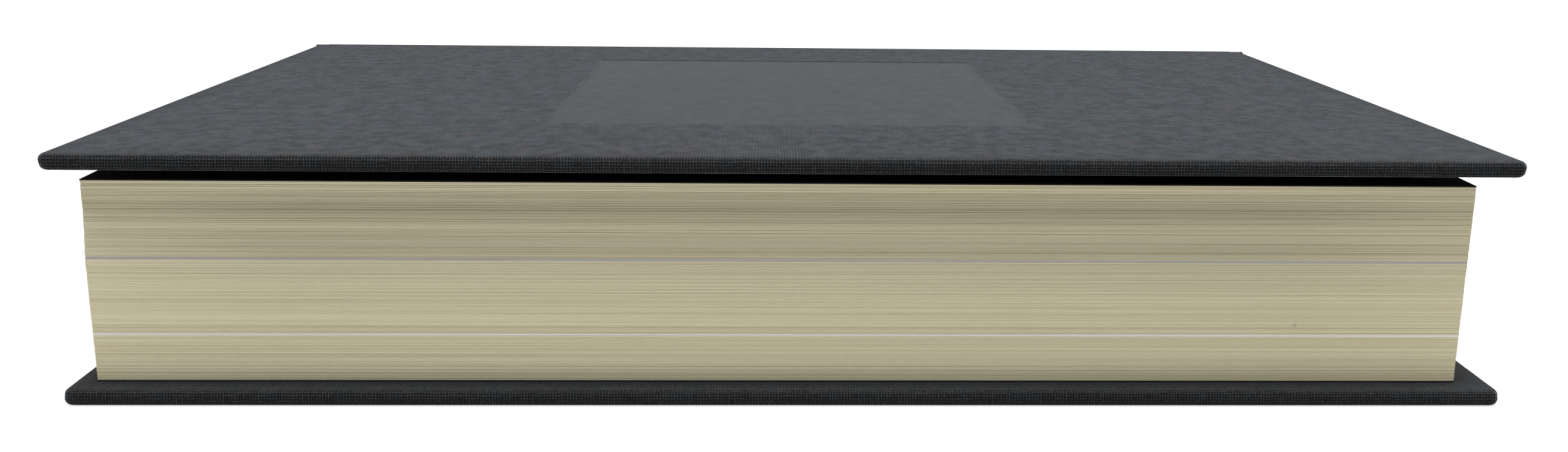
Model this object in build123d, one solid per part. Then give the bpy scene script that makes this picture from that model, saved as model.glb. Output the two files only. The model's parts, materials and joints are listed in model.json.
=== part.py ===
from build123d import *

import math
import os

# A case-bound book with a square back, lying on its back cover with the front cover a little ajar.
# Sizes are in millimetres and angles in degrees.
# X runs along the spine with the head at +X, Y runs from the fore edge to the spine, and Z is up.
# The origin is under the middle of the closed book, on the surface that it rests on.

# Covers
cover_height = 241.0
cover_width = 156.4
board_thickness = 2.0
cloth_thickness = 0.35
turn_in_width = 15.0
mitre_width = 0.2
mitre_depth = 0.15
corner_radius = 1.2
inner_corner_radius = 2.4
edge_radius = 1.0
front_cover_lift = 0.78

# Blocked panel in the front cover's cloth
panel_length = 88.8
panel_width = 94.0
panel_fore_margin = 34.0
panel_depth = 0.1
panel_corner_radius = 0.5

# Pages and endpapers
fore_square = 4.8
head_square = 6.3
tail_square = 4.1
page_block_thickness = 34.2
section_count = 38
section_groove_width = 0.16
section_groove_depth = 0.15
section_fold_height = 0.35
endpaper_thickness = 0.15
pastedown_slope_width = 0.4

# Joints and spine
joint_width = 7.4
joint_lap = 1.0
groove_radius = 0.6
spine_board_thickness = 2.0
spine_board_edge_radius = 0.25
spine_end_inset = 1.2
spine_hollow = 0.5
mull_thickness = 0.3
mull_flange_width = 25.0
mull_end_gap = 0.5
lining_thickness = 0.3
lining_edge_gap = 0.5

# Head and tail bands
band_bead_height = 1.5
band_bead_width = 2.2
band_bead_radius = 0.6
band_tape_length = 8.0
band_side_gap = 0.3

# Levels of one cover, counted from its outer face towards the pages
board_level = cloth_thickness
turn_in_level = board_level + board_thickness
cover_thickness = turn_in_level + cloth_thickness
pastedown_level = turn_in_level + max(cloth_thickness, mull_thickness)
hinge_level = pastedown_level + endpaper_thickness
page_level = hinge_level + endpaper_thickness
closed_thickness = 2 * page_level + page_block_thickness

# Places along Y
back_stack = mull_thickness + lining_thickness + spine_hollow
spine_depth = back_stack + spine_board_thickness + cloth_thickness
closed_width = cover_width + joint_width + spine_depth
cover_fore_y = -closed_width / 2
board_back_y = cover_fore_y + cover_width
shoulder_y = board_back_y + joint_width
spine_inner_y = shoulder_y + back_stack
spine_outer_y = shoulder_y + spine_depth
page_fore_y = cover_fore_y + fore_square

# Places along X
page_height = cover_height - head_square - tail_square
page_middle_x = (tail_square - head_square) / 2
board_end_x = cover_height / 2 - cloth_thickness
turn_in_end_x = cover_height / 2 - turn_in_width
page_end_x = page_height / 2
mull_end_x = min(turn_in_end_x, page_end_x - abs(page_middle_x)) - mull_end_gap

# Radii that a wall limits, and where the joint cloth begins and ends
board_edge_radius = max(0.1 * board_thickness, edge_radius - cloth_thickness)
board_edge_radius = min(board_edge_radius, 0.45 * board_thickness)
cloth_edge_radius = board_edge_radius + cloth_thickness
spine_edge_radius = min(spine_board_edge_radius, 0.45 * spine_board_thickness)
spine_lap = min(joint_lap, 0.2 * spine_board_thickness)
joint_edge_y = board_back_y - board_edge_radius - joint_lap
spine_edge_y = spine_inner_y + spine_edge_radius + spine_lap
board_corner_radius = max(inner_corner_radius - cloth_thickness, 1.05 * board_edge_radius)
cloth_outer_corner_radius = max(corner_radius, 1.05 * cloth_edge_radius)
cloth_inner_corner_radius = board_corner_radius + cloth_thickness


def slab(x_low, x_high, y_low, y_high, z_low, z_high):
    """A box between two corners."""
    size = (x_high - x_low, y_high - y_low, z_high - z_low)
    centre = ((x_low + x_high) / 2, (y_low + y_high) / 2, (z_low + z_high) / 2)
    return Pos(*centre) * Box(*size)


def along_spine(profile, end_x):
    """A profile drawn in Y and Z, carried along the spine to both ends."""
    return extrude(Plane.YZ * profile, amount=end_x, both=True)


def parallel(points, distance):
    """The corners of a line drawn beside a bent line, to its left by a distance."""
    directions = []
    for start, end in zip(points, points[1:]):
        length = math.dist(start, end)
        directions.append(((end[0] - start[0]) / length, (end[1] - start[1]) / length))
    before_each = directions[:1] + directions
    after_each = directions + directions[-1:]
    moved = []
    for point, before, after in zip(points, before_each, after_each):
        normal_x = -before[1] - after[1]
        normal_y = before[0] + after[0]
        scale = distance / (1 + before[0] * after[0] + before[1] * after[1])
        moved.append((point[0] + normal_x * scale, point[1] + normal_y * scale))
    return moved


def turn_sign(before, corner, after):
    """Plus one where a line turns left at its corner, and minus one where it turns right."""
    coming = (corner[0] - before[0], corner[1] - before[1])
    going = (after[0] - corner[0], after[1] - corner[1])
    return math.copysign(1, coming[0] * going[1] - coming[1] * going[0])


def bent_line(points, radii):
    """A line with a round bend at each corner."""
    return FilletPolyline(*points, radius=radii) if radii else Polyline(*points)


def bent_sheet(points, radii, thickness):
    """The section of a sheet that follows a bent line, with a bend radius at each corner."""
    half = thickness / 2
    signs = [turn_sign(*points[i : i + 3]) for i in range(len(points) - 2)]
    left = bent_line(parallel(points, half), [r - half * s for r, s in zip(radii, signs)])
    right = bent_line(parallel(points, -half), [r + half * s for r, s in zip(radii, signs)])
    ends = [Line(left @ 0, right @ 0), Line(left @ 1, right @ 1)]
    return make_face([left, right] + ends)


def with_pages(shape):
    """Moves a piece from the middle of the covers to the middle of the pages, head to tail."""
    return Pos(page_middle_x, 0, 0) * shape


def swung(point, lift):
    """A point of a cover's section, swung open about the hinge by a few degrees."""
    angle = math.radians(lift)
    y = point[0] - shoulder_y
    z = point[1] - hinge_level
    turned_y = y * math.cos(angle) - z * math.sin(angle)
    turned_z = y * math.sin(angle) + z * math.cos(angle)
    return (shoulder_y + turned_y, hinge_level + turned_z)


def to_front(shape):
    """Moves a piece from the back cover's place to the same place on the front."""
    return Pos(0, 0, closed_thickness) * mirror(shape, about=Plane.XY)


def lifted(shape):
    """Swings a piece of the front cover to where the cover stands at rest."""
    hinge = Axis((0, shoulder_y, closed_thickness - hinge_level), (-1, 0, 0))
    return shape.rotate(hinge, front_cover_lift)


def leaf(inset, back_y, outer_corner, inner_corner, edge, round_back=False):
    """A cover's form, set in from its outside, with rounded rims and fore corners.

    The two corner radii are those on its outer and its inner face."""
    end_x = cover_height / 2 - inset
    fore_y = cover_fore_y + inset
    outline = Pos(0, (fore_y + back_y) / 2) * Rectangle(2 * end_x, back_y - fore_y)
    fore_corners = outline.vertices().group_by(Axis.Y)[0]
    outer_face = Pos(0, 0, inset) * fillet(fore_corners, outer_corner)
    inner_face = Pos(0, 0, cover_thickness - inset) * fillet(fore_corners, inner_corner)
    if inner_corner == outer_corner:
        form = extrude(outer_face, amount=cover_thickness - 2 * inset)
    else:
        form = loft([outer_face, inner_face], ruled=True)
    rims = form.faces().filter_by(Axis.Z).edges()
    if not round_back:
        rims = [rim for rim in rims if rim.center().Y < back_y - edge]
    return fillet(rims, edge)


def board():
    """The grey board inside one cover."""
    corner = board_corner_radius
    return leaf(cloth_thickness, board_back_y, corner, corner, board_edge_radius, round_back=True)


def mitre(side):
    """The line where two turn-ins meet at a fore corner, as a shallow groove."""
    length = turn_in_width * math.sqrt(2)
    middle_x = side * (cover_height / 2 - turn_in_width / 2)
    middle_y = cover_fore_y + turn_in_width / 2
    place = Pos(middle_x, middle_y, cover_thickness) * Rot(0, 0, 90 + side * 45)
    return place * Box(mitre_width, length, 2 * mitre_depth)


def cover_cloth():
    """The cloth over one cover, with its three turn-ins inside.

    Folded over the corner of the board, it is thickest and least round on the outer face."""
    outside = leaf(0, board_back_y, cloth_outer_corner_radius, cloth_inner_corner_radius, cloth_edge_radius)
    inside_back_y = board_back_y + cover_width
    inside = leaf(cloth_thickness, inside_back_y, board_corner_radius, board_corner_radius, board_edge_radius)
    window = slab(
        -turn_in_end_x, turn_in_end_x,
        cover_fore_y + turn_in_width, board_back_y + turn_in_width,
        turn_in_level - board_thickness / 2, cover_thickness + cloth_thickness,
    )
    lap = slab(
        -cover_height, cover_height,
        joint_edge_y, board_back_y + cloth_thickness,
        -cloth_thickness, cloth_thickness,
    )
    bend = slab(
        -cover_height, cover_height,
        board_back_y - board_edge_radius, board_back_y + cloth_thickness,
        -cloth_thickness, board_level + board_edge_radius,
    )
    return outside - inside - window - lap - bend - mitre(-1) - mitre(1)


def panel_recess():
    """The flattened field that the blocking leaves in the front cover."""
    middle_y = cover_fore_y + panel_fore_margin + panel_width / 2
    outline = Pos(0, middle_y) * RectangleRounded(panel_length, panel_width, panel_corner_radius)
    return extrude(outline, amount=panel_depth) + extrude(outline, amount=-panel_depth)


def pastedown():
    """The endpaper pasted inside one cover, sunk where no turn-in or mull lies under it."""
    window_end_x = min(turn_in_end_x, mull_end_x)
    window_fore_y = cover_fore_y + turn_in_width
    window_back_y = board_back_y - mull_flange_width
    window_size = (2 * window_end_x, window_back_y - window_fore_y)
    window_place = Pos(0, (window_fore_y + window_back_y) / 2, turn_in_level)
    sheet = with_pages(slab(-page_end_x, page_end_x, page_fore_y, board_back_y, pastedown_level, hinge_level))
    sunk_depth = hinge_level - turn_in_level
    plug = extrude(window_place * Rectangle(*window_size), amount=sunk_depth)
    hollow_depth = sunk_depth - endpaper_thickness
    rim = 2 * endpaper_thickness + 2 * pastedown_slope_width
    floor_outline = Pos(0, 0, endpaper_thickness) * Rectangle(window_size[0] - rim, window_size[1] - rim)
    slope = math.degrees(math.atan2(pastedown_slope_width, hollow_depth))
    hollow = extrude(window_place * floor_outline, amount=hollow_depth, taper=-slope)
    return sheet + plug - hollow


def joint_cloth(lift):
    """The cloth that bends in the groove between one cover and the spine, double at its ends."""
    half = cloth_thickness / 2
    groove_z = turn_in_level - half
    spine_end_z = spine_end_inset + half
    groove = [swung((board_back_y + half, groove_z), lift), (spine_inner_y - half, groove_z)]
    over_board = [(joint_edge_y, half), (board_back_y + half, half)]
    over_spine = [(spine_inner_y - half, spine_end_z), (spine_edge_y, spine_end_z)]
    path = [swung(point, lift) for point in over_board] + groove + over_spine
    radii = [board_edge_radius + half, groove_radius, groove_radius, spine_edge_radius + half]
    single = along_spine(bent_sheet(path, radii, cloth_thickness), cover_height / 2)
    double_section = bent_sheet(parallel(groove, half), [], 2 * cloth_thickness)
    double = along_spine(double_section, cover_height / 2) - along_spine(double_section, turn_in_end_x)
    return single + double


def joint_mull(lift):
    """The gauze that ties the pages to one cover, glued to the board and bent over the shoulder."""
    half = mull_thickness / 2
    flange_z = turn_in_level + half
    board_end = swung((board_back_y, flange_z), lift)
    glued_path = [swung((board_back_y - mull_flange_width, flange_z), lift), board_end]
    bent_path = [board_end, (shoulder_y + half, flange_z), (shoulder_y + half, page_level)]
    glued = along_spine(bent_sheet(glued_path, [], mull_thickness), mull_end_x)
    bent = along_spine(bent_sheet(bent_path, [mull_thickness], mull_thickness), mull_end_x)
    return glued + bent


def joint_paper(lift):
    """The endpaper's own strip across the joint, from the board to the fold at the shoulder."""
    half = endpaper_thickness / 2
    fold_y = shoulder_y - mull_thickness / 2
    path = [swung((board_back_y, pastedown_level + half), lift), (fold_y, pastedown_level + half)]
    return with_pages(along_spine(bent_sheet(path, [], endpaper_thickness), page_end_x))


def flyleaf():
    """The loose half of one endpaper, lying against the pages."""
    return with_pages(slab(-page_end_x, page_end_x, page_fore_y, shoulder_y, hinge_level, page_level))


def section_levels():
    """The heights at which one folded section of pages meets the next."""
    pitch = page_block_thickness / section_count
    return [page_level + pitch * i for i in range(section_count + 1)]


def notched_edge(edge, depth):
    """The outline of a trimmed edge, from the bottom page up, with a nick between sections."""
    levels = section_levels()
    half = section_groove_width / 2
    points = [(edge, levels[0])]
    for level in levels[1:-1]:
        points += [(edge, level - half), (edge + depth, level), (edge, level + half)]
    return points + [(edge, levels[-1])]


def text_block():
    """All the pages as one solid: nicked where sections meet, and round at their folds."""
    levels = section_levels()
    fold_y = shoulder_y - section_fold_height
    folds = []
    for low, high in zip(levels, levels[1:]):
        folds.append(ThreePointArc((fold_y, low), (shoulder_y, (low + high) / 2), (fold_y, high)))
    fore_edge = Polyline(*notched_edge(page_fore_y, section_groove_depth))
    bottom = Line((page_fore_y, levels[0]), (fold_y, levels[0]))
    top = Line((page_fore_y, levels[-1]), (fold_y, levels[-1]))
    side_view = make_face([fore_edge, bottom, top] + folds)
    tail_edge = notched_edge(-page_end_x, section_groove_depth)
    head_edge = notched_edge(page_end_x, -section_groove_depth)
    end_view = make_face(Polyline(*tail_edge, *reversed(head_edge), close=True))
    lengthwise = along_spine(side_view, cover_height / 2)
    crosswise = extrude(Plane.XZ * end_view, amount=closed_width, both=True)
    return with_pages(lengthwise & crosswise)


def mull():
    """The gauze glued down the folds of the sections."""
    return slab(
        -mull_end_x, mull_end_x,
        shoulder_y, shoulder_y + mull_thickness,
        page_level, closed_thickness - page_level,
    )


def spine_lining():
    """The paper lining over the gauze, between the tapes of the two bands."""
    end_x = page_end_x - band_tape_length
    low_y = shoulder_y + mull_thickness
    low_z = page_level + lining_edge_gap
    high_z = closed_thickness - page_level - lining_edge_gap
    return with_pages(slab(-end_x, end_x, low_y, low_y + lining_thickness, low_z, high_z))


def end_band():
    """A band at the head: a bead on the pages' edge, and its tape glued down the folds."""
    low_z = page_level + band_side_gap
    height = page_block_thickness - 2 * band_side_gap
    tape_y = shoulder_y + mull_thickness
    bead_low_y = tape_y - band_bead_width
    tape = slab(
        page_end_x - band_tape_length, page_end_x,
        tape_y, tape_y + lining_thickness,
        low_z, low_z + height,
    )
    bead = slab(
        page_end_x, page_end_x + band_bead_height,
        bead_low_y, tape_y + lining_thickness,
        low_z, low_z + height,
    )
    round_edges = bead.faces().sort_by(Axis.X)[-1].edges().filter_by(Axis.Z)
    radius = min(band_bead_radius, 0.45 * band_bead_width, 0.9 * band_bead_height)
    return tape + fillet(round_edges, radius)


def spine_form(inset, length):
    """The spine's form, set in from the outside of its cloth and rounded along its length."""
    low_z = spine_end_inset + inset
    height = closed_thickness - 2 * low_z
    low_y = spine_inner_y - cloth_thickness + inset
    high_y = spine_outer_y - inset
    section = Pos((low_y + high_y) / 2, closed_thickness / 2) * Rectangle(high_y - low_y, height)
    radius = spine_edge_radius + cloth_thickness - inset
    return along_spine(fillet(section.vertices(), radius), length)


def spine_board():
    """The stiff strip down the spine."""
    return spine_form(cloth_thickness, board_end_x)


def spine_cloth():
    """The cloth over the spine, turned in at the head and the tail."""
    outside = spine_form(0, cover_height / 2)
    inner_face_y = spine_inner_y - cloth_thickness
    opening = slab(
        -turn_in_end_x, turn_in_end_x,
        inner_face_y - cloth_thickness, spine_inner_y,
        0, closed_thickness,
    )
    hidden_end = slab(
        -cover_height, cover_height,
        inner_face_y - cloth_thickness, spine_edge_y,
        0, pastedown_level,
    )
    return outside - spine_board() - opening - hidden_end - to_front(hidden_end)


pieces = {
    "text_block": text_block(),
    "mull": mull(),
    "spine_lining": spine_lining(),
    "head_band": with_pages(end_band()),
    "tail_band": with_pages(mirror(end_band(), about=Plane.YZ)),
    "spine_board": spine_board(),
    "spine_cloth": spine_cloth(),
    "back_flyleaf": flyleaf(),
    "back_pastedown": pastedown(),
    "back_board": board(),
    "back_cover_cloth": cover_cloth(),
    "back_joint_cloth": joint_cloth(0),
    "back_joint_mull": joint_mull(0),
    "back_joint_paper": joint_paper(0),
    "front_flyleaf": to_front(flyleaf()),
    "front_pastedown": lifted(to_front(pastedown())),
    "front_board": lifted(to_front(board())),
    "front_cover_cloth": lifted(to_front(cover_cloth() - panel_recess())),
    "front_joint_cloth": to_front(joint_cloth(front_cover_lift)),
    "front_joint_mull": to_front(joint_mull(front_cover_lift)),
    "front_joint_paper": to_front(joint_paper(front_cover_lift)),
}

os.makedirs("parts", exist_ok=True)
for name, piece in pieces.items():
    export_step(piece, f"parts/{name}.step")
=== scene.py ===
import json
import math
import random

import bmesh
import bpy
from mathutils import Matrix, Vector

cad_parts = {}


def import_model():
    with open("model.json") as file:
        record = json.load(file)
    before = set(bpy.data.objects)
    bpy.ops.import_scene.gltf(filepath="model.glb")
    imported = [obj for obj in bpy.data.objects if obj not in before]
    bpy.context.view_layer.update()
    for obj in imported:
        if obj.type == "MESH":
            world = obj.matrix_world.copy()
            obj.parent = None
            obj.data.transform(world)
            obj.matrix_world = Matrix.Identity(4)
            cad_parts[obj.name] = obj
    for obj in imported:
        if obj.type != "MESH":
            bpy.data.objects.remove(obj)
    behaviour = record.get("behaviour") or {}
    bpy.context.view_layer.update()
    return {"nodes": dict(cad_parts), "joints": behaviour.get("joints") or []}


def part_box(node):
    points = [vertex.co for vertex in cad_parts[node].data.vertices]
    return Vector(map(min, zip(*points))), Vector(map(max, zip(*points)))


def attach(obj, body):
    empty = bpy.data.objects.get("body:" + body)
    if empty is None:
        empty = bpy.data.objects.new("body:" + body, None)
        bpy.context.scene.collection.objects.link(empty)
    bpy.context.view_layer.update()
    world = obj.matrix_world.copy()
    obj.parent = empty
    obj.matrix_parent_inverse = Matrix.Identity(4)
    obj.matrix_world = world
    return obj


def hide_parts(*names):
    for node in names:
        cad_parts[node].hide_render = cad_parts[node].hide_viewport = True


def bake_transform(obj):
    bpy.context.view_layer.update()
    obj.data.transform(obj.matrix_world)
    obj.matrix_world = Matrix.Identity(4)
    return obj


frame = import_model()
nodes = frame["nodes"]

# A cloth-bound book, lying on its back cover with the front cover a little ajar.
# Meshes are in metres, and mm turns a size in millimetres into metres.
# Sizes of the weave, the panel and the pages that lack mm are in millimetres, as the patterns are.
mm = 0.001

# Camera, fitted to the corners of the covers and of the pages
camera_place = Vector((-4.63, -322.57, 90.74)) * mm
camera_pitch = math.radians(13.965)
camera_roll = math.radians(0.721)
camera_yaw = math.radians(-1.996)
camera_sensor = 36.0
camera_lens = 34.78
camera_shift_x = -0.0210
camera_clip_start = 0.01

# Light, in metres and watts: a wide lamp overhead, white surroundings and a floor that looks white
lamp_place = (0.05, -0.16, 1.3)
lamp_width = 2.4
lamp_depth = 0.5
lamp_power = 46
surrounding_light = 0.38
floor_half_size = 12.0
floor_seen_grey = 0.3
floor_seen_glow = 0.72
floor_bounce_grey = 0.5

# Case and endpapers, as the CAD model has them
cloth_thickness = 0.35 * mm
board_thickness = 2.0 * mm
mull_thickness = 0.3 * mm
paper_thickness = 0.15 * mm
board_edge_radius = 0.65 * mm
spine_board_edge_radius = 0.25 * mm
groove_radius = 0.6 * mm
spine_end_inset = 1.2 * mm
turn_in_width = 15 * mm
corner_groove_depth = 0.15 * mm

# Meshes: how finely the bending pieces are divided, the angle in degrees from which an edge stays sharp,
# and how near two points count as one or a point as on a line
strip_step = 0.25 * mm
strip_columns = 48
turn_in_columns = 4
gauze_columns = 12
fewest_bend_steps = 4
sharp_angle = 40
same_point = 0.001 * mm
crossing_tolerance = 0.2 * mm

# Ranges that most of a noise lies in
usual_noise = (0.3, 0.7)
tone_noise = (0.3, 0.72)
fuzz_noise = (0.25, 0.75)
cloud_noise = (0.38, 0.62)

# Weave of the book cloth. Its threads wander by a share of their pitch, and differ in how light they are:
# a step takes the noise from one thread to the next, and a drift takes it along a thread.
thread_pitch = 0.48
thread_wander = 0.4
wander_scale_u = 0.23
wander_scale_v = 0.31
thread_dip = 0.32
dip_shade = 0.7
tone_step = 3.7
tone_drift = 0.11
slub_step = 5.3
slub_drift = 0.6
dullest_thread = 0.35
# A thread's colour shows from this share of its height up, as a painted highlight along its crest
crest_highlight_from = 0.5
fuzz_shading = (0.7, 1.3)
weave_relief = 0.09 * mm
cloth_roughness = 0.72

# Thread of the head and tail bands
band_thread_pitch = 0.7
band_slant = 0.8
band_relief = 0.12 * mm

# How the weave of a cover changes, with distances in from its edges: closed by the press on its faces, which
# are also painted lighter, as painted light for the sheen and the stronger light on them; open and a little
# darker at its edges, as painted shade; and darkest far in on the turn-ins, as painted shade where the pages
# shade them
closed_and_lit_lightness = 0.32
closed_and_lit_contrast = 0.6
closed_shading = (-0.2, 0.25)
closed_and_lit_from = (0.6, 6.0)
closed_and_lit_at_edge = 0.6
closed_and_lit_on_turn_in = 0.2
edge_painted_shade = 0.8
# Painted shade on the turn-ins, darkest far in from the edges, where the pages shade them
turn_in_shade_from = (0.8, 4.0)
turn_in_shade_lightness = 0.3

# Fold of the cloth at a fore corner, where two turn-ins meet
mitre_half_width = 0.1
mitre_lightness = 0.3
mitre_drop = -0.6

# How far a surface must face up or down to count as a board's face, its inner side or the panel's side
facing_of_face = (0.75, 0.97)
facing_of_inner_side = (0.4, 0.8)
facing_of_panel = (-0.6, -0.1)

# Blocked panel on the front cover
panel_length = 88.8
panel_width = 94.0
panel_fore_margin = 34.0
panel_edge = (-0.8, 0.7)
panel_rim = (0.6, 0.0)
panel_rim_strength = 0.5
panel_contrast = 0.6
panel_relief_share = 0.25
panel_roughness = 0.62
panel_grain = (0.9, 1.1)

# Pages: folded sections, the gaps between leaves that stand open, and two sections of coated plates.
# Heights are above the lowest page, and a gap has its height and how far it stands open.
section_count = 38
leaves_in_section = 8
section_size_spread = 0.12
section_shift_spread = 0.04
leaf_shift_spread = 0.02
section_fold_height = 0.35
page_seed = 7
tight_gap = 0.06
section_gap = 0.12
gap_depth = 0.03
open_gap_depth = 0.15
leaf_rounding = (0.25, 0.8)
leaf_wave = 0.5
leaf_wave_x = 60 * mm
leaf_wave_y = 45 * mm
gap_wave = 0.2
gap_wave_x = 70 * mm
page_relief = 0.012 * mm
outline_counts = (26, 14, 6, 14)
open_gaps = (
    (33.6, 0.7), (32.7, 0.9), (32.4, 0.8), (30.7, 0.8), (30.3, 0.6), (29.9, 1.0), (29.5, 0.8),
    (27.6, 0.7), (25.8, 0.5), (19.1, 0.2), (15.3, 0.35), (13.8, 0.3), (12.2, 0.3), (9.4, 0.35),
    (8.5, 0.9), (7.4, 0.6), (2.4, 0.7), (1.85, 0.8), (1.35, 0.8), (0.75, 0.9),
)
grey_plates = (20.95, 21.35)
bright_leaf = (20.75, 20.85)
white_plates = (7.95, 8.2)

# The upper leaves have slipped from the tail towards the head, down to tail_slip_depth below the top
tail_slip = 0.5
tail_slip_depth = 14.0
full_slip_depth = 5.25

# Brown speck on the fore edge
speck_x = 85.6
speck_height = 10.0
speck_radius = 0.2
speck_outer_radius = 0.45
speck_depth = 1.0
speck_strength = 0.35

# Endpapers, and the curl of the loose one along its fore edge
endpaper_relief = 0.02 * mm
flyleaf_curl = 0.06
flyleaf_curl_power = 3
flyleaf_steps = 40
flyleaf_columns = 24

# Painted shade and light on the pages, from the lowest to the highest: darker where they are fanned loose
# and shade falls between the leaves, and near the lowest page in shade by the back cover; lighter where they
# are pressed tight, and lightest at the top, a painted highlight where the top leaves catch the light. The
# painted shade fades towards the head and the tail, where more light reaches the pages from the sides,
# between two distances from the middle.
painted_page_shading = (
    (0.0, 0.84), (1.6, 0.92), (6.0, 0.955), (15.3, 0.93), (19.5, 0.87),
    (23.7, 0.76), (26.8, 0.885), (29.5, 0.71), (31.6, 0.83), (33.6, 1.09),
)
painted_shade_fades_from = 80.0
painted_shade_fades_to = 114.0
painted_shade_faded = 0.55

# Joints of the book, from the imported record
hinges = {joint["child"]: joint for joint in frame["joints"]}
hinge_place = {body: Vector(joint["pos_m"]) for body, joint in hinges.items()}
closed_top = hinge_place["front_cover"].z + hinge_place["back_cover"].z
shoulder_y = hinge_place["back_cover"].y

pages_low, pages_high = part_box("text_block")
cover_low, cover_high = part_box("back_cover_cloth")
joint_low, joint_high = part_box("back_joint_cloth")
spine_low, spine_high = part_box("spine_cloth")
paper_low, paper_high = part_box("back_joint_paper")
mull_low, mull_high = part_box("back_joint_mull")
board_back_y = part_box("back_board")[1].y
cover_half = cover_high.x
cover_fore_y = cover_low.y


class Graph:
    """The shader nodes of one material, added and linked by short calls."""

    def __init__(self, name):
        self.material = bpy.data.materials.new(name)
        self.material.use_nodes = True
        self.tree = self.material.node_tree
        self.shader = self.tree.nodes["Principled BSDF"]

    def add(self, kind, inputs=None, **settings):
        node = self.tree.nodes.new(kind)
        for name, value in settings.items():
            setattr(node, name, value)
        for name, value in (inputs or {}).items():
            self.feed(node.inputs[name], value)
        return node

    def feed(self, socket, value):
        if isinstance(value, bpy.types.NodeSocket):
            self.tree.links.new(value, socket)
        else:
            socket.default_value = value

    def math(self, operation, *values):
        node = self.add("ShaderNodeMath", operation=operation)
        for socket, value in zip(node.inputs, values):
            self.feed(socket, value)
        return node.outputs[0]

    def difference(self, value, other):
        return self.math("SUBTRACT", value, other)

    def size(self, value):
        """The value without its sign."""
        return self.math("ABSOLUTE", value)

    def sum(self, *values):
        total = values[0]
        for value in values[1:]:
            total = self.math("ADD", total, value)
        return total

    def weighted(self, *pairs):
        """A sum of values, each times its share."""
        return self.sum(*[self.product(value, share) for value, share in pairs])

    def product(self, *values):
        total = values[0]
        for value in values[1:]:
            total = self.math("MULTIPLY", total, value)
        return total

    def ramp(self, value, low, high, to_low=0.0, to_high=1.0):
        """The value's place between low and high, eased at both ends."""
        inputs = {"Value": value, "From Min": low, "From Max": high, "To Min": to_low, "To Max": to_high}
        return self.add("ShaderNodeMapRange", inputs, interpolation_type="SMOOTHSTEP").outputs["Result"]

    def wave(self, turn):
        """A cosine that runs between none and one."""
        return self.sum(0.5, self.product(self.math("COSINE", turn), 0.5))

    def vector(self, x=0.0, y=0.0, z=0.0):
        return self.add("ShaderNodeCombineXYZ", {"X": x, "Y": y, "Z": z}).outputs[0]

    def split(self, vector):
        return self.add("ShaderNodeSeparateXYZ", {"Vector": vector}).outputs

    def scaled(self, vector, factor):
        node = self.add("ShaderNodeVectorMath", operation="SCALE")
        self.feed(node.inputs["Vector"], vector)
        self.feed(node.inputs["Scale"], factor)
        return node.outputs[0]

    def noise(self, vector, scale=1.0, detail=2.0, roughness=0.5):
        inputs = {"Vector": vector, "Scale": scale, "Detail": detail, "Roughness": roughness}
        return self.add("ShaderNodeTexNoise", inputs).outputs["Fac"]

    def spread(self, noise, to_low=0.0, to_high=1.0):
        """A noise's usual range, spread between two values."""
        return self.ramp(noise, *usual_noise, to_low, to_high)

    def mix(self, factor, low, high, blend_type="MIX"):
        node = self.add("ShaderNodeMix", data_type="RGBA", blend_type=blend_type)
        self.feed(node.inputs["Factor"], factor)
        self.feed(node.inputs["A"], low)
        self.feed(node.inputs["B"], high)
        return node.outputs["Result"]

    def blend(self, factor, low, high):
        """A number between low and high."""
        return self.sum(low, self.product(factor, self.difference(high, low)))

    def bump(self, height, distance, strength=1.0):
        inputs = {"Height": height, "Distance": distance, "Strength": strength}
        self.feed(self.shader.inputs["Normal"], self.add("ShaderNodeBump", inputs).outputs[0])

    def finish(self, colour, roughness, **constants):
        """Sets what the surface shows. Constants go on the shader's own sockets."""
        self.feed(self.shader.inputs["Base Color"], colour)
        self.feed(self.shader.inputs["Roughness"], roughness)
        for name, value in constants.items():
            self.shader.inputs[name.replace("_", " ")].default_value = value
        return self.material


def colour(red, green, blue):
    return (red, green, blue, 1.0)


def grey(level):
    return colour(level, level, level)


def object_place(graph):
    """A solid's own place in millimetres, which stays with it as it moves."""
    coordinates = graph.add("ShaderNodeTexCoord")
    return graph.scaled(coordinates.outputs["Object"], 1 / mm), coordinates.outputs["Normal"]


def stored_place(graph):
    """The place in millimetres that a bending piece had at rest, along its cloth."""
    attribute = graph.add("ShaderNodeAttribute", attribute_name="rest_place")
    return attribute.outputs["Vector"]


def across_threads(graph, place, normal):
    """Two coordinates that run across the threads on whichever side of a board this is."""
    x, y, z = graph.split(place)
    facing = [graph.size(part) for part in graph.split(normal)]
    on_end = graph.math("GREATER_THAN", facing[0], graph.math("MAXIMUM", facing[1], facing[2]))
    on_fore = graph.math("GREATER_THAN", facing[1], facing[2])
    u = graph.blend(on_end, x, z)
    v = graph.blend(graph.product(on_fore, graph.difference(1.0, on_end)), y, z)
    return u, v


def thread(graph, across, along, seed):
    """One set of threads: the number of each, how high it stands, and how light it is."""
    number = graph.math("ROUND", across)
    raised = graph.wave(graph.product(graph.difference(across, number), 2 * math.pi))
    tone_place = graph.vector(graph.product(number, tone_step), graph.product(along, tone_drift), seed)
    slub_place = graph.vector(graph.product(number, slub_step), graph.product(along, slub_drift), seed)
    tone = graph.ramp(graph.noise(tone_place, detail=1.0), *tone_noise)
    slub = graph.spread(graph.noise(slub_place, detail=1.0))
    lightness = graph.sum(dullest_thread, graph.product(tone, 0.5), graph.product(slub, 0.5))
    return number, raised, lightness


def over_and_under(graph, number, along, phase):
    """The rise and dip of a thread as it passes over and under those that cross it."""
    turn = graph.product(graph.sum(number, along, phase), math.pi)
    return graph.sum(1 - thread_dip, graph.product(graph.math("COSINE", turn), thread_dip))


def thread_light(graph, raised, rise, tone):
    """How light a thread is: darkest at its sides, with a painted highlight along its crest, and painted
    shade where it dips under another.
    """
    crest_highlight = graph.ramp(raised, crest_highlight_from, 1.0)
    return graph.product(crest_highlight, graph.sum(1 - dip_shade, graph.product(rise, dip_shade)), tone)


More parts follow.
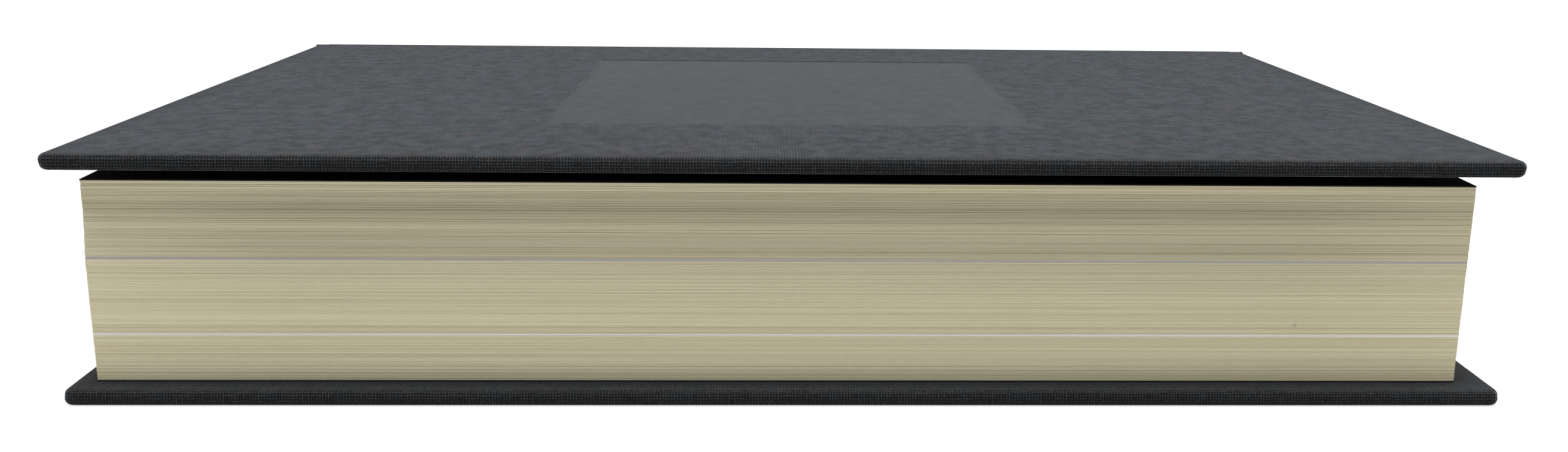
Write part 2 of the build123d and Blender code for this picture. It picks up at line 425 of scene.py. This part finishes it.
def weave(graph, u, v):
    """The plain weave: its height, and how light its threads are."""
    place = graph.vector(u, v)
    wander_u = graph.difference(graph.noise(place, wander_scale_u, detail=1.0), 0.5)
    wander_v = graph.difference(graph.noise(place, wander_scale_v, detail=1.0), 0.5)
    across_u = graph.sum(graph.product(u, 1 / thread_pitch), graph.product(wander_u, thread_wander))
    across_v = graph.sum(graph.product(v, 1 / thread_pitch), graph.product(wander_v, thread_wander))
    number_u, raised_u, tone_u = thread(graph, across_u, across_v, seed=1.5)
    number_v, raised_v, tone_v = thread(graph, across_v, across_u, seed=8.5)
    rise_u = over_and_under(graph, number_u, across_v, phase=0.0)
    rise_v = over_and_under(graph, number_v, across_u, phase=1.0)
    height = graph.math("MAXIMUM", graph.product(raised_u, rise_u), graph.product(raised_v, rise_v))
    light_u = thread_light(graph, raised_u, rise_u, tone_u)
    light_v = thread_light(graph, raised_v, rise_v, tone_v)
    return height, graph.math("MAXIMUM", light_u, light_v)


def closed_and_lit_faces(graph, normal):
    """One on a board's faces, where the press has closed the weave and painted light makes them lighter, and
    none on its edges.
    """
    return graph.ramp(graph.size(graph.split(normal)[2]), *facing_of_face)


def panel_field(graph, place, normal):
    """One inside the blocked panel, and a second value for its pressed rim."""
    x, y, _ = graph.split(place)
    middle_y = cover_fore_y / mm + panel_fore_margin + panel_width / 2
    inside_x = graph.difference(panel_length / 2, graph.size(x))
    inside_y = graph.difference(panel_width / 2, graph.size(graph.difference(y, middle_y)))
    inside = graph.math("MINIMUM", inside_x, inside_y)
    outward = graph.ramp(graph.split(normal)[2], *facing_of_panel)
    field = graph.product(graph.ramp(inside, *panel_edge), outward)
    rim = graph.product(field, graph.ramp(inside, *panel_rim))
    return field, rim


def edge_marks(graph, place):
    """How far in from a cover's edges a point lies, and one along the fold of the cloth at a fore corner."""
    x, y, _ = graph.split(place)
    from_end = graph.difference(cover_half / mm, graph.size(x))
    from_fore = graph.difference(y, cover_fore_y / mm)
    off_line = graph.size(graph.difference(from_end, from_fore))
    mitre = graph.ramp(off_line, 3 * mitre_half_width, mitre_half_width)
    return graph.math("MINIMUM", from_end, from_fore), mitre


def pressed_weave(graph, place, normal, height, lightness, inner_side):
    """The weave where cloth lies on a board: closed and painted lighter on the faces, open and painted
    darker at the edges and on turn-ins, with painted shade far in on the turn-ins.
    """
    shade = graph.spread(graph.noise(place, scale=0.35, detail=3.0, roughness=0.6), *closed_shading)
    closed = closed_and_lit_faces(graph, normal)
    closed_and_lit_light = graph.sum(closed_and_lit_lightness, graph.product(lightness, closed_and_lit_contrast), shade)
    if inner_side:
        inside = graph.ramp(graph.product(graph.split(normal)[2], inner_side), *facing_of_inner_side)
        closed = graph.product(closed, graph.blend(inside, 1.0, closed_and_lit_on_turn_in))
        from_edge, mitre = edge_marks(graph, place)
        # Painted shade on the turn-ins, darkest far in from the edges, where the pages shade them
        turn_in_shade = graph.ramp(from_edge, *turn_in_shade_from, 1.0, turn_in_shade_lightness)
        closed = graph.product(closed, graph.ramp(from_edge, *closed_and_lit_from, closed_and_lit_at_edge, 1.0))
        seam = graph.product(inside, mitre)
        lightness = graph.product(lightness, graph.blend(inside, 1.0, turn_in_shade))
        closed_and_lit_light = graph.product(closed_and_lit_light, graph.blend(seam, 1.0, mitre_lightness))
        height = graph.sum(height, graph.product(seam, mitre_drop))
    # Painted light and shade: the closed faces are lighter and the open weave at the edges and on turn-ins
    # darker
    lightness = graph.blend(closed, graph.product(lightness, edge_painted_shade), closed_and_lit_light)
    return height, lightness


def blocked_panel(graph, place, normal, surface, height, lightness, fuzz):
    """Presses the panel into the front cover's cloth, with its weave flattened and its rim lighter."""
    dark = colour(0.023, 0.022, 0.0225)
    light = colour(0.052, 0.052, 0.0545)
    rim_colour = colour(0.070, 0.071, 0.075)
    field, rim = panel_field(graph, place, normal)
    flat = graph.mix(graph.product(lightness, panel_contrast), dark, light)
    flat = graph.mix(graph.product(rim, panel_rim_strength), flat, rim_colour)
    surface = graph.mix(field, surface, flat)
    height = graph.product(height, graph.blend(field, 1.0, panel_relief_share))
    grain = graph.spread(fuzz, *panel_grain)
    roughness = graph.blend(field, cloth_roughness, graph.product(grain, panel_roughness))
    return surface, height, roughness


def cloth_material(name, bending=False, with_panel=False, inner_side=0):
    """Dark grey book cloth: an open plain weave over a black filler.

    inner_side is 1 where the turn-ins face up, and -1 where they face down."""
    filler = colour(0.0040, 0.0037, 0.0035)
    warm_thread = colour(0.0495, 0.0465, 0.0495)
    cool_thread = colour(0.0400, 0.0485, 0.0545)
    graph = Graph(name)
    if bending:
        place = stored_place(graph)
        u, v, _ = graph.split(place)
    else:
        place, normal = object_place(graph)
        u, v = across_threads(graph, place, normal)
    height, lightness = weave(graph, u, v)
    cloud = graph.noise(place, scale=0.3, detail=4.0, roughness=0.65)
    fuzz = graph.noise(place, scale=3.1, detail=2.0)
    lightness = graph.product(lightness, graph.ramp(fuzz, *fuzz_noise, *fuzz_shading))
    if not bending:
        height, lightness = pressed_weave(graph, place, normal, height, lightness, inner_side)
    thread_colour = graph.mix(graph.ramp(cloud, *cloud_noise), warm_thread, cool_thread)
    surface = graph.mix(lightness, filler, thread_colour)
    roughness = cloth_roughness
    if with_panel:
        surface, height, roughness = blocked_panel(graph, place, normal, surface, height, lightness, fuzz)
    graph.bump(height, weave_relief)
    return graph.finish(
        surface, roughness, IOR=1.4, Specular_IOR_Level=0.1, Sheen_Weight=0.5, Sheen_Roughness=0.22,
        Sheen_Tint=colour(0.80, 0.9, 1.0),
    )


def band_material():
    """Cotton thread wound side by side over the bead of a head band."""
    shaded = colour(0.30, 0.28, 0.23)
    bright = colour(0.68, 0.65, 0.57)
    graph = Graph("band_thread")
    place, _ = object_place(graph)
    _, y, z = graph.split(place)
    turn = graph.sum(graph.product(z, 2 * math.pi / band_thread_pitch), graph.product(y, band_slant))
    rib = graph.wave(turn)
    fibre = graph.noise(place, scale=5.0, detail=3.0)
    tone = graph.weighted((rib, 0.7), (fibre, 0.3))
    graph.bump(rib, band_relief)
    return graph.finish(graph.mix(tone, shaded, bright), roughness=0.7)


def layer(graph, height, low, high, edge=0.05):
    """One between two heights, and none a little outside them."""
    above = graph.ramp(height, low - edge, low + edge)
    below = graph.ramp(height, high + edge, high - edge)
    return graph.product(above, below)


def painted_page_shade(graph, height):
    """A grey level of painted shade and light that follows the pages' painted shading from the lowest page
    to the highest.
    """
    top = (pages_high.z - pages_low.z) / mm
    curve = graph.add("ShaderNodeValToRGB", {"Fac": graph.product(height, 1 / top)})
    curve.color_ramp.interpolation = "EASE"
    stops = curve.color_ramp.elements
    while len(stops) < len(painted_page_shading):
        stops.new(1.0)
    brightest = max(tone for _, tone in painted_page_shading)
    for stop, (level, tone) in zip(stops, painted_page_shading):
        stop.position = level / top
        stop.color = grey(tone / brightest)
    return graph.scaled(curve.outputs["Color"], brightest)


def page_noise(graph, along, across, stretch, scale, seed, detail=2.0):
    """Noise that is drawn out into long lines along the pages."""
    place = graph.vector(graph.product(along, stretch), seed, graph.product(across, scale))
    return graph.noise(place, detail=detail)


def speck(graph, x, y, height):
    """One in the speck on the fore edge, and none beyond it."""
    place = graph.vector(graph.difference(x, speck_x), graph.difference(height, speck_height))
    length = graph.add("ShaderNodeVectorMath", {"Vector": place}, operation="LENGTH")
    at_fore = graph.math("LESS_THAN", y, pages_low.y / mm + speck_depth)
    return graph.product(at_fore, graph.ramp(length.outputs["Value"], speck_outer_radius, speck_radius))


def page_material():
    """The trimmed edges of cream paper, with two sections of coated plates."""
    dark_cream = colour(0.62, 0.555, 0.375)
    light_cream = colour(0.77, 0.72, 0.525)
    bright_cream = colour(0.8, 0.78, 0.6)
    grey_coating = colour(0.475, 0.45, 0.435)
    white_coating = colour(0.8, 0.81, 0.83)
    gap_shade = colour(0.25, 0.19, 0.11)
    brown = colour(0.22, 0.13, 0.06)
    graph = Graph("cream_page_edges")
    place, _ = object_place(graph)
    x, y, z = graph.split(place)
    along = graph.sum(x, y)
    height = graph.difference(z, pages_low.z / mm)
    leaf_size = (pages_high.z - pages_low.z) / mm / (section_count * leaves_in_section)
    leaf = graph.math("FLOOR", graph.product(height, 1 / leaf_size))
    leaf_tone = page_noise(graph, along, leaf, stretch=0.002, scale=0.73, seed=0.0, detail=1.0)
    streak = page_noise(graph, along, height, stretch=0.0022, scale=3.1, seed=4.0)
    band = page_noise(graph, along, height, stretch=0.001, scale=0.55, seed=9.0)
    speckle = graph.noise(place, scale=5.0, detail=2.0)
    tone = graph.weighted((leaf_tone, 0.3), (streak, 0.35), (band, 0.25), (speckle, 0.1))
    paper = graph.mix(graph.spread(tone), dark_cream, light_cream)
    # Painted shade and light on the pages, fading towards the head and the tail, which more light reaches
    # from the sides
    lit_from_the_sides = graph.ramp(graph.size(x), painted_shade_fades_from, painted_shade_fades_to, 0.0, painted_shade_faded)
    painted_shade_level = graph.mix(lit_from_the_sides, painted_page_shade(graph, height), grey(1))
    paper = graph.mix(1.0, paper, painted_shade_level, blend_type="MULTIPLY")
    paper = graph.mix(layer(graph, height, *grey_plates), paper, grey_coating)
    paper = graph.mix(layer(graph, height, *bright_leaf), paper, bright_cream)
    paper = graph.mix(layer(graph, height, *white_plates, edge=0.12), paper, white_coating)
    gap = graph.add("ShaderNodeAttribute", attribute_name="page_gap").outputs["Fac"]
    paper = graph.mix(gap, paper, gap_shade)
    paper = graph.mix(graph.product(speck(graph, x, y, height), speck_strength), paper, brown)
    graph.bump(graph.weighted((leaf_tone, 0.6), (streak, 0.4)), page_relief, strength=0.4)
    return graph.finish(paper, roughness=0.8, IOR=1.45, Specular_IOR_Level=0.25)


def endpaper_material():
    """Black uncoated paper."""
    darker = colour(0.0125, 0.0120, 0.0118)
    lighter = colour(0.0215, 0.0205, 0.0200)
    graph = Graph("black_endpaper")
    place, _ = object_place(graph)
    fibre = graph.noise(place, scale=2.2, detail=4.0, roughness=0.65)
    cloud = graph.noise(place, scale=0.12, detail=3.0)
    tone = graph.weighted((fibre, 0.6), (cloud, 0.4))
    graph.bump(fibre, endpaper_relief, strength=0.5)
    surface = graph.mix(graph.spread(tone), darker, lighter)
    return graph.finish(surface, roughness=0.85, IOR=1.4, Specular_IOR_Level=0.3)


def plain_material(name, low, high, scale, stretch, roughness, relief):
    """A fibrous surface between two colours, with a grain that may be stretched along X."""
    graph = Graph(name)
    place, _ = object_place(graph)
    x, y, z = graph.split(place)
    grain_place = graph.vector(graph.product(x, 1 / stretch), y, z)
    grain = graph.noise(grain_place, scale, detail=4.0, roughness=0.6)
    graph.bump(grain, relief)
    return graph.finish(graph.mix(graph.spread(grain), low, high), roughness)


def smooth(piece):
    """Shades a mesh as round where its faces meet at less than the sharp angle."""
    for face in piece.data.polygons:
        face.use_smooth = True
    piece.data.set_sharp_from_angle(angle=math.radians(sharp_angle))


def new_piece(name, points, faces):
    mesh = bpy.data.meshes.new(name)
    mesh.from_pydata(points, [], faces)
    mesh.validate()
    piece = bpy.data.objects.new(name, mesh)
    bpy.context.scene.collection.objects.link(piece)
    return piece


def dress(piece, material):
    piece.data.materials.clear()
    piece.data.materials.append(material)
    return piece


def swung(point, lift):
    """A point of the back cover's section in Y and Z, swung about the hinge by an angle."""
    centre = hinge_place["back_cover"].yz
    return Matrix.Rotation(lift, 2) @ (Vector(point) - centre) + centre


def rounded_path(corners, radii, step):
    """The points of a bent line whose corners are arcs, none further apart than a step."""
    path = [Vector(corners[0])]
    for before, corner, after, radius in zip(corners, corners[1:], corners[2:], radii):
        corner = Vector(corner)
        back = (Vector(before) - corner).normalized()
        ahead = (Vector(after) - corner).normalized()
        half_angle = back.angle(ahead) / 2
        reach = radius / math.tan(half_angle)
        centre = corner + (back + ahead).normalized() * (radius / math.sin(half_angle))
        start = corner + back * reach - centre
        turn = start.angle_signed(corner + ahead * reach - centre)
        count = max(fewest_bend_steps, math.ceil(abs(turn) * radius / step))
        for index in range(count + 1):
            path.append(centre + Matrix.Rotation(-turn * index / count, 2) @ start)
    path.append(Vector(corners[-1]))
    even = [path[0]]
    for point in path[1:]:
        start = even[-1]
        count = max(1, math.ceil((point - start).length / step))
        even += [start.lerp(point, (index + 1) / count) for index in range(count)]
    return even


def beside(path, distance):
    """The points of a line drawn to the left of a path, at a distance."""
    moved = []
    last = len(path) - 1
    for index, point in enumerate(path):
        ahead = (path[min(index + 1, last)] - path[max(index - 1, 0)]).normalized()
        moved.append(point + Vector((-ahead.y, ahead.x)) * distance)
    return moved


def strip_shell(path, thickness, low_x, high_x, columns, first):
    """Points, faces and places along the cloth of a sheet that follows a path in Y and Z."""
    left = beside(path, thickness / 2)
    right = beside(path, -thickness / 2)
    ring = left + right[::-1]
    lengths = [0.0]
    for start, end in zip(path, path[1:]):
        lengths.append(lengths[-1] + (end - start).length)
    ring_lengths = lengths + lengths[::-1]
    points = []
    places = []
    for column in range(columns + 1):
        x = low_x + (high_x - low_x) * column / columns
        for point, length in zip(ring, ring_lengths):
            points.append((x, point.x, point.y))
            places.append((x / mm, (path[0].x + length) / mm, 0.0))
    size = len(ring)
    faces = []
    for column in range(columns):
        for index in range(size):
            here = first + column * size + index
            beyond = first + column * size + (index + 1) % size
            faces.append((here, beyond, beyond + size, here + size))
    half = len(path)
    for column in (0, columns):
        start = first + column * size
        for index in range(half - 1):
            pair = (start + index, start + index + 1, start + size - 2 - index, start + size - 1 - index)
            faces.append(pair if column else pair[::-1])
    return points, faces, places


def strip_piece(name, parts, upside_down):
    """One mesh of several strips, each a path, a thickness and its two ends along X."""
    points = []
    faces = []
    places = []
    for path, thickness, low_x, high_x, columns in parts:
        shell = strip_shell(path, thickness, low_x, high_x, columns, len(points))
        points += shell[0]
        faces += shell[1]
        places += shell[2]
    if upside_down:
        points = [(x, y, closed_top - z) for x, y, z in points]
        faces = [face[::-1] for face in faces]
    piece = new_piece(name, points, faces)
    attribute = piece.data.attributes.new("rest_place", "FLOAT_VECTOR", "POINT")
    attribute.data.foreach_set("vector", [value for place in places for value in place])
    smooth(piece)
    return piece


def crosses_corner(point, side, lift):
    """Whether a point of a cover's cloth lies in the groove across one of its fore corners."""
    x, y, z = point
    place = swung((y, closed_top - z), -lift) if side == "front" else Vector((y, z))
    from_end = cover_half - abs(x)
    from_fore = place.x - cover_fore_y
    groove_floor = 2 * cloth_thickness + board_thickness - corner_groove_depth
    across = abs(from_end + from_fore - turn_in_width) < crossing_tolerance
    return across and place.y > groove_floor - same_point


def without_grooves(mesh, side, lift):
    """A copy of a cover cloth's mesh with the groove across each fore corner filled flush."""
    mended = mesh.copy()
    form = bmesh.new()
    form.from_mesh(mended)
    bmesh.ops.remove_doubles(form, verts=form.verts, dist=same_point)
    in_groove = {vertex for vertex in form.verts if crosses_corner(vertex.co, side, lift)}
    groove = [face for face in form.faces if in_groove.issuperset(face.verts)]
    bmesh.ops.delete(form, geom=groove, context="FACES")
    rims = [edge for edge in form.edges if edge.is_boundary]
    filling = bmesh.ops.holes_fill(form, edges=rims, sides=0)["faces"]
    bmesh.ops.triangulate(form, faces=filling)
    form.to_mesh(mended)
    form.free()
    if "custom_normal" in mended.attributes:
        mended.attributes.remove(mended.attributes["custom_normal"])
    return mended


def cover_cloth_piece(side, lift, material):
    """The cloth round one cover's board."""
    node = f"{side}_cover_cloth"
    mesh = without_grooves(nodes[node].data, side, lift)
    piece = bpy.data.objects.new(f"{side}_cover_book_cloth", mesh)
    bpy.context.scene.collection.objects.link(piece)
    smooth(piece)
    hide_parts(node)
    dress(piece, material)
    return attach(piece, f"{side}_cover")


def loose_endpaper(material):
    """The loose half of the front endpaper, which curls up a little along the fore edge."""
    low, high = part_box("front_flyleaf")
    level = closed_top - (low.z + high.z) / 2
    path = []
    for index in range(flyleaf_steps + 1):
        share = index / flyleaf_steps
        curl = flyleaf_curl * mm * (1 - share) ** flyleaf_curl_power
        path.append(Vector((low.y + (high.y - low.y) * share, level - curl)))
    part = (path, high.z - low.z, low.x + tail_slip * mm, high.x, flyleaf_columns)
    piece = strip_piece("front_loose_endpaper", [part], upside_down=True)
    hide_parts("front_flyleaf")
    dress(piece, material)
    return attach(piece, "pages")


def joint_span(piece):
    """Bakes into its mesh the placing of a piece that spans between the pages and a cover, from the spine's
    corner to the board.
    """
    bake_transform(piece)


def joint_cloth(side, lift, material):
    """The cloth in the groove between one cover and the spine, with its turn-ins at head and tail."""
    half = cloth_thickness / 2
    groove_z = cloth_thickness + board_thickness - half
    spine_end_z = spine_end_inset + half
    groove_y = spine_low.y + half
    corners = [
        swung((joint_low.y, half), lift),
        swung((board_back_y + half, half), lift),
        swung((board_back_y + half, groove_z), lift),
        Vector((groove_y, groove_z)),
        Vector((groove_y, spine_end_z)),
        Vector((joint_high.y, spine_end_z)),
    ]
    board_bend = board_edge_radius + half
    spine_bend = spine_board_edge_radius + half
    outer = rounded_path(corners, [board_bend, groove_radius, groove_radius, spine_bend], strip_step)
    inner = rounded_path([point + Vector((0, cloth_thickness)) for point in corners[2:4]], [], strip_step)
    turn_in_x = cover_half - turn_in_width
    parts = [
        (outer, cloth_thickness, -cover_half, cover_half, strip_columns),
        (inner, cloth_thickness, -cover_half, -turn_in_x, turn_in_columns),
        (inner, cloth_thickness, turn_in_x, cover_half, turn_in_columns),
    ]
    cloth = strip_piece(f"{side}_joint_book_cloth", parts, upside_down=side == "front")
    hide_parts(f"{side}_joint_cloth")
    dress(cloth, material)
    joint_span(cloth)


def joint_endpaper(side, lift, material):
    """The strip of endpaper that crosses the joint inside one cover."""
    z = hinge_place["back_cover"].z - paper_thickness / 2
    path = rounded_path([swung((paper_low.y, z), lift), (paper_high.y, z)], [], strip_step)
    part = (path, paper_thickness, paper_low.x, paper_high.x, strip_columns)
    paper = strip_piece(f"{side}_joint_endpaper", [part], upside_down=side == "front")
    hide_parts(f"{side}_joint_paper")
    dress(paper, material)
    joint_span(paper)


def joint_gauze(side, lift, material):
    """The flange of gauze, from the folds of the sections over the shoulder and onto one board."""
    half = mull_thickness / 2
    flange_z = cloth_thickness + board_thickness + half
    corners = [
        swung((mull_low.y, flange_z), lift),
        swung((board_back_y, flange_z), lift),
        Vector((shoulder_y + half, flange_z)),
        Vector((shoulder_y + half, pages_low.z)),
    ]
    on_board = rounded_path(corners[:2], [], strip_step)
    over_shoulder = rounded_path(corners[1:], [mull_thickness], strip_step)
    path = on_board + over_shoulder[1:]
    part = (path, mull_thickness, mull_low.x, mull_high.x, gauze_columns)
    gauze = strip_piece(f"{side}_joint_gauze", [part], upside_down=side == "front")
    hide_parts(f"{side}_joint_mull")
    dress(gauze, material)
    joint_span(gauze)


def page_outline():
    """Points round the pages with the outward direction at each, from the tail end of the fore edge."""
    corners = [
        Vector((pages_low.x, pages_low.y)),
        Vector((pages_high.x, pages_low.y)),
        Vector((pages_high.x, pages_high.y)),
        Vector((pages_low.x, pages_high.y)),
    ]
    outward = [Vector((0, -1)), Vector((1, 0)), Vector((0, 1)), Vector((-1, 0))]
    outline = []
    for side, count in enumerate(outline_counts):
        start = corners[side]
        end = corners[(side + 1) % len(corners)]
        for index in range(count):
            direction = outward[side] + outward[side - 1] if index == 0 else outward[side]
            outline.append((start.lerp(end, index / count), direction))
    return outline


def page_leaves(dice):
    """The level of each gap between leaves, and whether it lies between two sections."""
    height = pages_high.z - pages_low.z
    sizes = [1 + dice.uniform(-section_size_spread, section_size_spread) for _ in range(section_count)]
    levels = []
    level = pages_low.z
    for size in sizes:
        section = height * size / sum(sizes)
        for leaf in range(leaves_in_section):
            levels.append((level + section * leaf / leaves_in_section, leaf == 0))
        level += section
    return levels


def fold_inset(level, opens, closes):
    """How far a leaf's fold lies in from the middle of its section's round fold."""
    share = (level - opens) / (closes - opens) * 2 - 1
    return section_fold_height * mm * (1 - math.sqrt(max(0.0, 1 - share * share)))


def end_slip(level):
    """How far the upper leaves have slipped from the tail towards the head."""
    below_top = (pages_high.z - level) / mm
    share = (tail_slip_depth - below_top) / (tail_slip_depth - full_slip_depth)
    return tail_slip * mm * min(1.0, max(0.0, share))


def leaf_rows(dice, level, top, opens_section, section_shift):
    """The rows that draw one leaf's edge, each a level, how far in it lies, and how open its gap is."""
    leaf_size = (pages_high.z - pages_low.z) / (section_count * leaves_in_section)
    height = level - pages_low.z
    standing = [share for place, share in open_gaps if abs(place * mm - height) <= leaf_size / 2]
    openness = tight_gap * dice.random() + (section_gap * dice.random() if opens_section else 0.0)
    openness = max([openness] + standing)
    shift = section_shift + dice.uniform(0, leaf_shift_spread) * mm
    lowest = (level, shift + (gap_depth + open_gap_depth * openness) * mm, openness)
    if level == pages_low.z:
        lowest = (level, shift, 0.0)
    return [lowest] + [(level + share * (top - level), shift, 0.0) for share in leaf_rounding]


def row_points(outline, row, phase, fold):
    """The points of one row round the pages, in a slow wave, and how far the gap stands open at each."""
    level, inset, gap = row
    slip = end_slip(level)
    points = []
    gaps = []
    for place, direction in outline:
        wave = 1 + leaf_wave * math.sin(phase + place.x / leaf_wave_x + place.y / leaf_wave_y)
        moved = place - direction * inset * wave
        moved.x += slip * max(0.0, place.x / pages_low.x)
        if direction.y > 0:
            moved.y = place.y - fold
        points.append((moved.x, moved.y, level))
        gaps.append(gap * (1 - gap_wave + gap_wave * math.sin(2 * phase + place.x / gap_wave_x)))
    return points, gaps


def ring_faces(size, row_count):
    """The faces between rows of points that each go once round, and the two that close the ends."""
    faces = []
    for row in range(row_count - 1):
        for index in range(size):
            here = row * size + index
            beyond = row * size + (index + 1) % size
            faces.append((here, beyond, beyond + size, here + size))
    last = size * (row_count - 1)
    faces.append(tuple(reversed(range(size))))
    faces.append(tuple(range(last, last + size)))
    return faces


def page_block(material):
    """The pages leaf by leaf: trimmed on three sides, folded at the spine, with gaps between them."""
    dice = random.Random(page_seed)
    outline = page_outline()
    levels = page_leaves(dice)
    tops = [level for level, _ in levels[1:]] + [pages_high.z]
    section_starts = [level for level, opens_section in levels if opens_section] + [pages_high.z]
    points = []
    gaps = []
    for (level, opens_section), top in zip(levels, tops):
        if opens_section:
            section_shift = dice.uniform(0, section_shift_spread) * mm
            opens = level
            closes = section_starts[section_starts.index(level) + 1]
        rows = leaf_rows(dice, level, top, opens_section, section_shift)
        phase = dice.uniform(0, 2 * math.pi)
        for row in rows:
            row_places, row_gaps = row_points(outline, row, phase, fold_inset(row[0], opens, closes))
            points += row_places
            gaps += row_gaps
    top_places, top_gaps = row_points(outline, (pages_high.z, 0.0, 0.0), phase=0.0, fold=0.0)
    points += top_places
    gaps += top_gaps
    piece = new_piece("page_leaves", points, ring_faces(len(outline), len(points) // len(outline)))
    piece.data.attributes.new("page_gap", "FLOAT", "POINT").data.foreach_set("value", gaps)
    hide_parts("text_block")
    dress(piece, material)
    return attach(piece, "pages")


def paint_solids(materials):
    """Gives each CAD solid that shows its material."""
    finishes = {
        "spine_cloth": "cloth",
        "front_board": "board",
        "back_board": "board",
        "spine_board": "board",
        "front_pastedown": "endpaper",
        "back_pastedown": "endpaper",
        "back_flyleaf": "endpaper",
        "spine_lining": "lining",
        "mull": "mull",
        "head_band": "band",
        "tail_band": "band",
    }
    for node, finish in finishes.items():
        dress(nodes[node], materials[finish])


def make_materials():
    return {
        "cloth": cloth_material("book_cloth"),
        "back_cloth": cloth_material("book_cloth_of_back_cover", inner_side=1),
        "front_cloth": cloth_material("book_cloth_of_front_cover", with_panel=True, inner_side=-1),
        "bending_cloth": cloth_material("book_cloth_at_joints", bending=True),
        "pages": page_material(),
        "endpaper": endpaper_material(),
        "board": plain_material(
            "grey_board", colour(0.36, 0.33, 0.28), colour(0.50, 0.46, 0.39),
            scale=2.0, stretch=1.0, roughness=0.9, relief=0.03 * mm,
        ),
        "mull": plain_material(
            "gauze", colour(0.50, 0.46, 0.37), colour(0.72, 0.68, 0.57),
            scale=3.0, stretch=1.0, roughness=0.9, relief=0.05 * mm,
        ),
        "lining": plain_material(
            "kraft_lining", colour(0.30, 0.21, 0.12), colour(0.42, 0.31, 0.19),
            scale=1.6, stretch=6.0, roughness=0.8, relief=0.02 * mm,
        ),
        "band": band_material(),
    }


def floor():
    """A floor that the camera sees as white, with a faint shadow, and that throws back less light."""
    size = floor_half_size
    corners = [(-size, -size, 0), (size, -size, 0), (size, size, 0), (-size, size, 0)]
    piece = new_piece("floor", corners, [(0, 1, 2, 3)])
    graph = Graph("white_floor")
    light_path = graph.add("ShaderNodeLightPath").outputs
    seen = graph.math("MAXIMUM", light_path["Is Camera Ray"], light_path["Is Glossy Ray"])
    seen = graph.math("MAXIMUM", seen, light_path["Is Transmission Ray"])
    surface = graph.mix(seen, grey(floor_bounce_grey), grey(floor_seen_grey))
    graph.feed(graph.shader.inputs["Base Color"], surface)
    graph.shader.inputs["Roughness"].default_value = 1.0
    graph.shader.inputs["Specular IOR Level"].default_value = 0.0
    graph.shader.inputs["Emission Color"].default_value = grey(1)
    graph.feed(graph.shader.inputs["Emission Strength"], graph.product(seen, floor_seen_glow))
    dress(piece, graph.material)


def world():
    """Even white light from all round, seen as white behind the floor."""
    surroundings = bpy.data.worlds.new("white_surroundings")
    surroundings.use_nodes = True
    tree = surroundings.node_tree
    background = tree.nodes["Background"]
    light_path = tree.nodes.new("ShaderNodeLightPath")
    strength = tree.nodes.new("ShaderNodeMapRange")
    strength.inputs["To Min"].default_value = surrounding_light
    strength.inputs["To Max"].default_value = 1.0
    tree.links.new(light_path.outputs["Is Camera Ray"], strength.inputs["Value"])
    tree.links.new(strength.outputs["Result"], background.inputs["Strength"])
    background.inputs["Color"].default_value = grey(1)
    bpy.context.scene.world = surroundings


def soft_light(name, place, aim, width, depth, power):
    """A wide lamp that faces a point."""
    lamp = bpy.data.lights.new(name, "AREA")
    lamp.shape = "RECTANGLE"
    lamp.size = width
    lamp.size_y = depth
    lamp.energy = power
    carrier = bpy.data.objects.new(name, lamp)
    carrier.location = place
    carrier.rotation_euler = (Vector(aim) - Vector(place)).to_track_quat("-Z", "Y").to_euler()
    bpy.context.scene.collection.objects.link(carrier)


def camera():
    view = bpy.data.cameras.new("photo_view")
    view.sensor_width = camera_sensor
    view.lens = camera_lens
    view.shift_x = camera_shift_x
    view.clip_start = camera_clip_start
    carrier = bpy.data.objects.new("photo_view", view)
    turn = Matrix.Rotation(camera_yaw, 4, "Z")
    turn @= Matrix.Rotation(math.pi / 2 - camera_pitch, 4, "X")
    turn @= Matrix.Rotation(camera_roll, 4, "Z")
    carrier.matrix_world = Matrix.Translation(camera_place) @ turn
    bpy.context.scene.collection.objects.link(carrier)
    bpy.context.scene.camera = carrier


materials = make_materials()
paint_solids(materials)
page_block(materials["pages"])
cover_edge_radius = cloth_thickness + board_edge_radius
cover_lift = math.asin(
    (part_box("front_cover_cloth")[1].z - closed_top) / (shoulder_y - cover_fore_y - cover_edge_radius),
)
loose_endpaper(materials["endpaper"])
for side, lift in (("back", 0.0), ("front", cover_lift)):
    cover_cloth_piece(side, lift, materials[f"{side}_cloth"])
    joint_cloth(side, lift, materials["bending_cloth"])
    joint_endpaper(side, lift, materials["endpaper"])
    joint_gauze(side, lift, materials["mull"])

floor()
world()
soft_light("overhead", lamp_place, (0, 0, 0), lamp_width, lamp_depth, lamp_power)
camera()

scene = bpy.context.scene
scene.view_settings.view_transform = "Standard"
